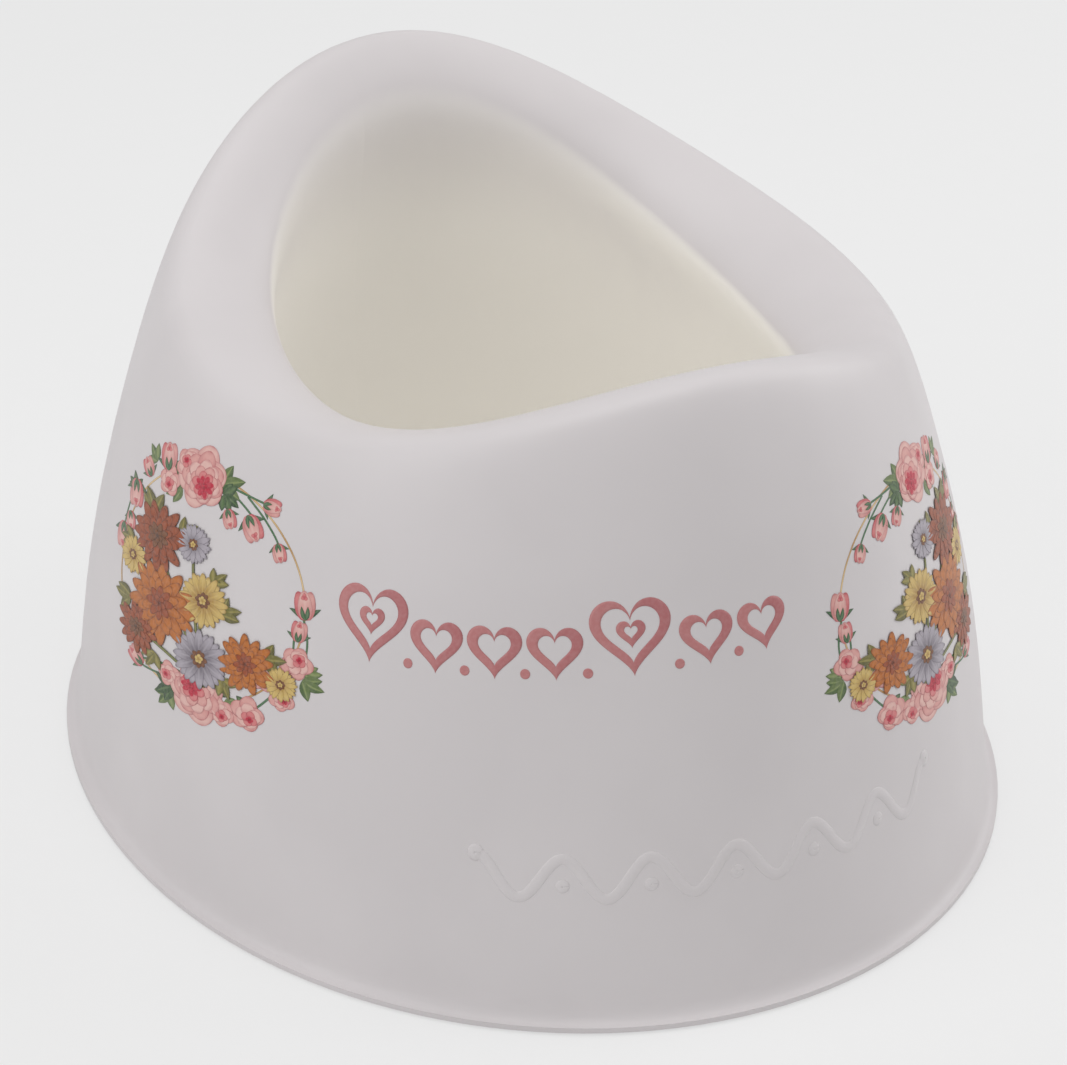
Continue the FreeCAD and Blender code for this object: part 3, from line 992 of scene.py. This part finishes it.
def heart_line(base, tall, steps=72):
    """Flat points round a heart that stands with its point on base."""
    points = []
    for step in range(steps):
        t = 2 * math.pi * step / steps
        x = 16 * math.sin(t) ** 3
        y = 13 * math.cos(t) - 5 * math.cos(2 * t) - 2 * math.cos(3 * t) - math.cos(4 * t)
        points.append(base + complex(x, y + CURVE_FOOT) / CURVE_TALL * tall)
    return points


def heart_band(art, base, tall, pen):
    """An outlined heart: the band between a large heart and a smaller one inside it."""
    outer = heart_line(base, tall)
    inner = heart_line(base + complex(0, PEN_AT_POINT * pen), tall - PEN_IN_ALL * pen)
    shares = (0.0, 0.25, 0.5, 0.75, 1.0)
    first = len(art.points)
    steps = len(outer) + 1
    for step in range(steps):
        for share in shares:
            flat = outer[step - 1] * (1 - share) + inner[step - 1] * share
            art.put(flat, 0j, 0, heart_ink(step / (steps - 1), share))
    art.weave(first, steps, len(shares))


def dot(art, centre, size, layer=0.0, crown=0.0):
    """A filled round dot, as one fan of rings; crown lifts its middle."""
    first = len(art.points)
    rings, spokes = 5, 25
    for ring in range(rings):
        share = ring / (rings - 1)
        rise = layer + crown * (1 - share * share)
        for spoke in range(spokes):
            out = size * (0.02 + 0.98 * share)
            art.put(centre, ray(-2 * math.pi * spoke / (spokes - 1), out), rise, HEART_INK)
    art.weave(first, rings, spokes)


print("hearts in the row:", len(HEARTS))

# %% Draw the heart row


def make_heart_row():
    turn, height = middle_of("heart_row_print")
    art = Print("heart_row", Patch(turn, height, ROW_LEAN))
    for place, tall in HEARTS:
        base = complex(place * MM, ROW_BASE)
        heart_band(art, base, tall * MM, PEN)
        if tall > TALL:
            small = SMALL_HEART * tall * MM
            heart_band(art, base + small * 1j, small, SMALL_PEN)
    for (left, left_tall), (right, right_tall) in zip(HEARTS, HEARTS[1:]):
        middle = (left * right_tall + right * left_tall) / (left_tall + right_tall)
        dot(art, complex(middle * MM, ROW_BASE + DOT_RISE), DOT)
    return art.piece(printed_ink, "heart_print", "heart_row_print")


make_heart_row()

# %% [markdown]
# ## A raised wave low on the skirt
# Mouldings of this kind carry a low relief in the same plastic, and here it is a plain wave with
# a bead under each crest. A relief this low could be a bump in the material, but then its edge
# would vanish in a side view. So it is drawn with the same tools as the prints, only thicker in
# the middle, and painted with the plastic of the shell.

# %% Raised wave
WAVE_TURN = math.radians(-5)
WAVE_HEIGHT = 46.0 * MM
WAVE_HALF_LENGTH = 76.0 * MM
WAVES = 6
WAVE_RISE = 6.0 * MM          # from the middle of the wave to its crest
WAVE_LINE = 3.6 * MM
WAVE_SUNK = -8                # both sides of the line start this many layers under the skirt
WAVE_CROWN = 34               # and its middle stands this many layers above them
BEAD = 2.2 * MM
BEAD_DROP = 1.35 * WAVE_RISE  # how far a bead lies below its crest
END_BEAD = 1.2 * BEAD         # each end of the wave has a larger and higher one
END_CROWN = 1.5 * WAVE_CROWN
WAVE_STEPS = 20               # to one wave


def wave_point(waves):
    """A flat point on the wave, after a number of waves from its left end."""
    along = WAVE_HALF_LENGTH * (2 * waves / WAVES - 1)
    return complex(along, WAVE_RISE * math.cos(2 * math.pi * waves))


def unprinted(along, across):
    """Ink for a relief. The plastic takes no notice of it, so any will do."""
    return HEART_INK


def make_wave():
    art = Print("skirt_wave", Patch(WAVE_TURN, WAVE_HEIGHT))
    steps = WAVE_STEPS * WAVES
    line = [wave_point(WAVES * step / steps) for step in range(steps + 1)]
    stroke(art, line, WAVE_LINE, WAVE_SUNK, unprinted, crown=WAVE_CROWN)
    for end in (line[0], line[-1]):
        dot(art, end, END_BEAD, WAVE_SUNK, END_CROWN)
    for wave in range(1, WAVES):
        dot(art, wave_point(wave) - BEAD_DROP * 1j, BEAD, WAVE_SUNK, WAVE_CROWN)
    return art.piece(plastic, "potty_plastic")


make_wave()
